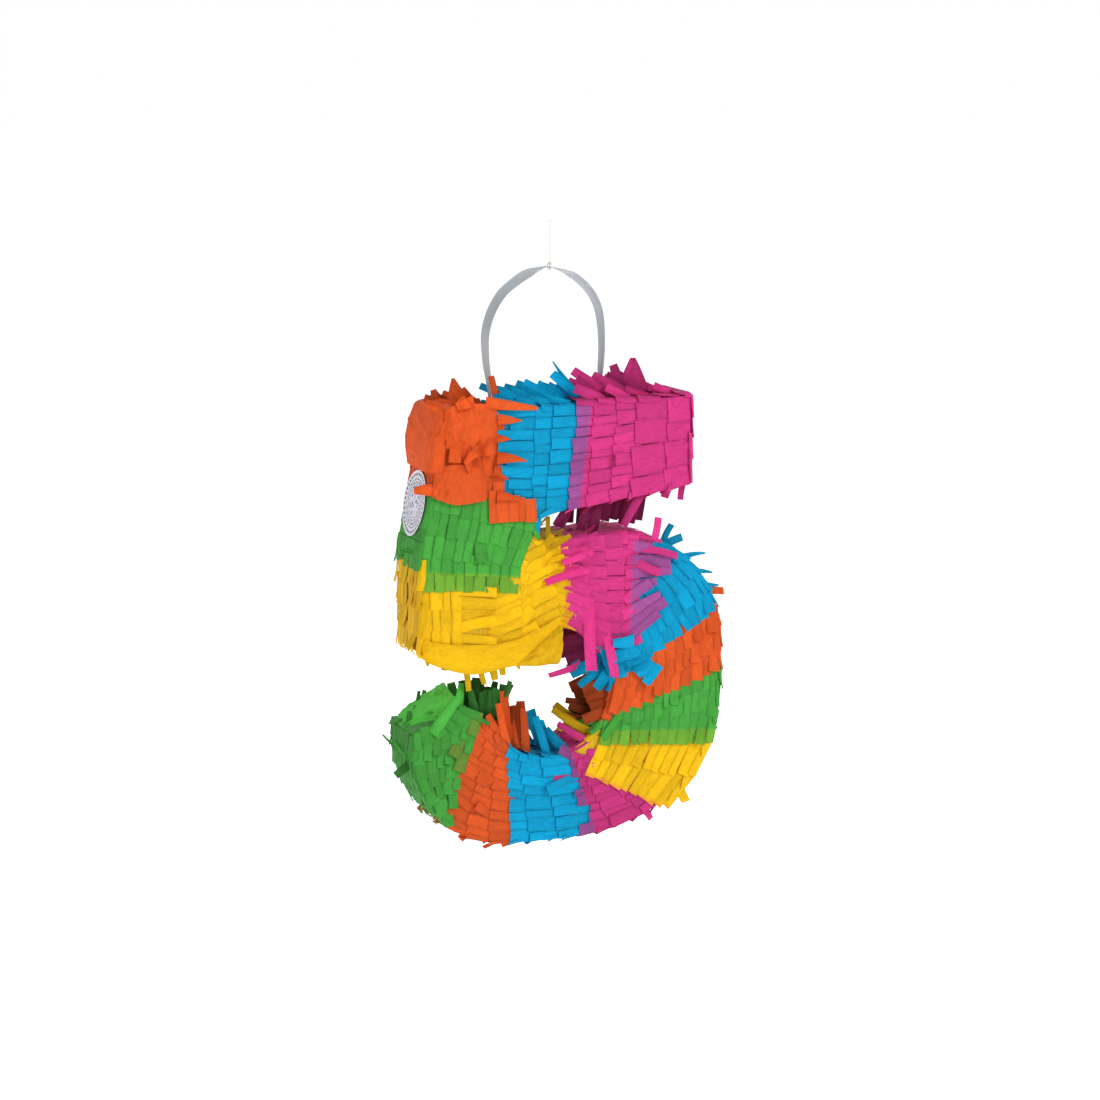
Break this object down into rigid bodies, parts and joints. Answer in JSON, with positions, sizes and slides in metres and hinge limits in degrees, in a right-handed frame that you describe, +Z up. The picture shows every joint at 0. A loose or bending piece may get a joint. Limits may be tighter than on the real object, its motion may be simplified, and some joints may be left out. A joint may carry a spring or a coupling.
{
  "type": "number pinata",
  "caption": "Cardboard box pinata shaped like the number five, covered in bands of coloured tissue fringe, hung by a ribbon loop and a thread, with a filler flap in its back.",
  "frame": {"origin": "the knot at the upper end of the hanging thread, above the middle of the box", "axes": "+Z up along the thread, the front of the number five faces -Y, and its top bar reaches right along +X"},
  "size_m": [0.2848, 0.0628, 0.536],
  "materials": {
    "cardboard": "raw brown",
    "tissue_pink": "crinkled tissue, deep pink",
    "tissue_blue": "crinkled tissue, bright blue",
    "tissue_orange": "crinkled tissue, orange",
    "tissue_green": "crinkled tissue, leaf green",
    "tissue_yellow": "crinkled tissue, golden yellow",
    "ribbon": "satin, silver grey",
    "thread": "cream cotton",
    "label": "smooth white"
  },
  "bodies": {
    "hanger": {"thread_top_knot": "thread"},
    "thread": {"thread": "thread", "thread_tie": "thread"},
    "loop": {"ribbon_loop": "ribbon"},
    "shell": {"front_panel": "cardboard", "back_panel": "cardboard", "wall_top": "cardboard", "wall_bar_end": "cardboard", "wall_bar_underside": "cardboard", "wall_notch": "cardboard", "wall_shoulder": "cardboard", "wall_bowl_outer": "cardboard", "wall_heel": "cardboard", "wall_hook_end": "cardboard", "wall_bowl_inner": "cardboard", "wall_stem_foot": "cardboard", "wall_stem_left": "cardboard", "fringe_pink_bar": "tissue_pink", "fringe_blue_bar": "tissue_blue", "fringe_orange_corner": "tissue_orange", "fringe_green_stem": "tissue_green", "fringe_yellow_stem": "tissue_yellow", "fringe_pink_arm": "tissue_pink", "fringe_blue_shoulder": "tissue_blue", "fringe_orange_bowl": "tissue_orange", "fringe_green_bowl": "tissue_green", "fringe_yellow_bowl": "tissue_yellow", "fringe_pink_base": "tissue_pink", "fringe_blue_base": "tissue_blue", "fringe_orange_hook": "tissue_orange", "fringe_green_hook": "tissue_green", "sticker": "label", "ribbon_end_left": "ribbon", "ribbon_end_right": "ribbon"},
    "flap": {"filler_flap": "cardboard", "filler_flap_fringe": "tissue_yellow"}
  },
  "joints": [
    {"name": "spin", "type": "hinge", "parent": "hanger", "child": "thread", "pos_m": [0, 0, 0], "axis": [0, 0, 1], "continuous": true},
    {"name": "side_swing", "type": "hinge", "parent": "thread", "child": "loop", "pos_m": [0, 0, -0.0383], "axis": [0, 1, 0], "range_deg": [-35, 35]},
    {"name": "fore_swing", "type": "hinge", "parent": "loop", "child": "shell", "pos_m": [0, 0, -0.1495], "axis": [1, 0, 0], "range_deg": [-75, 75]},
    {"name": "filler_flap_hinge", "type": "hinge", "parent": "shell", "child": "flap", "pos_m": [-0.0795, 0.0315, -0.317], "axis": [1, 0, 0], "range_deg": [0, 110]}
  ]
}
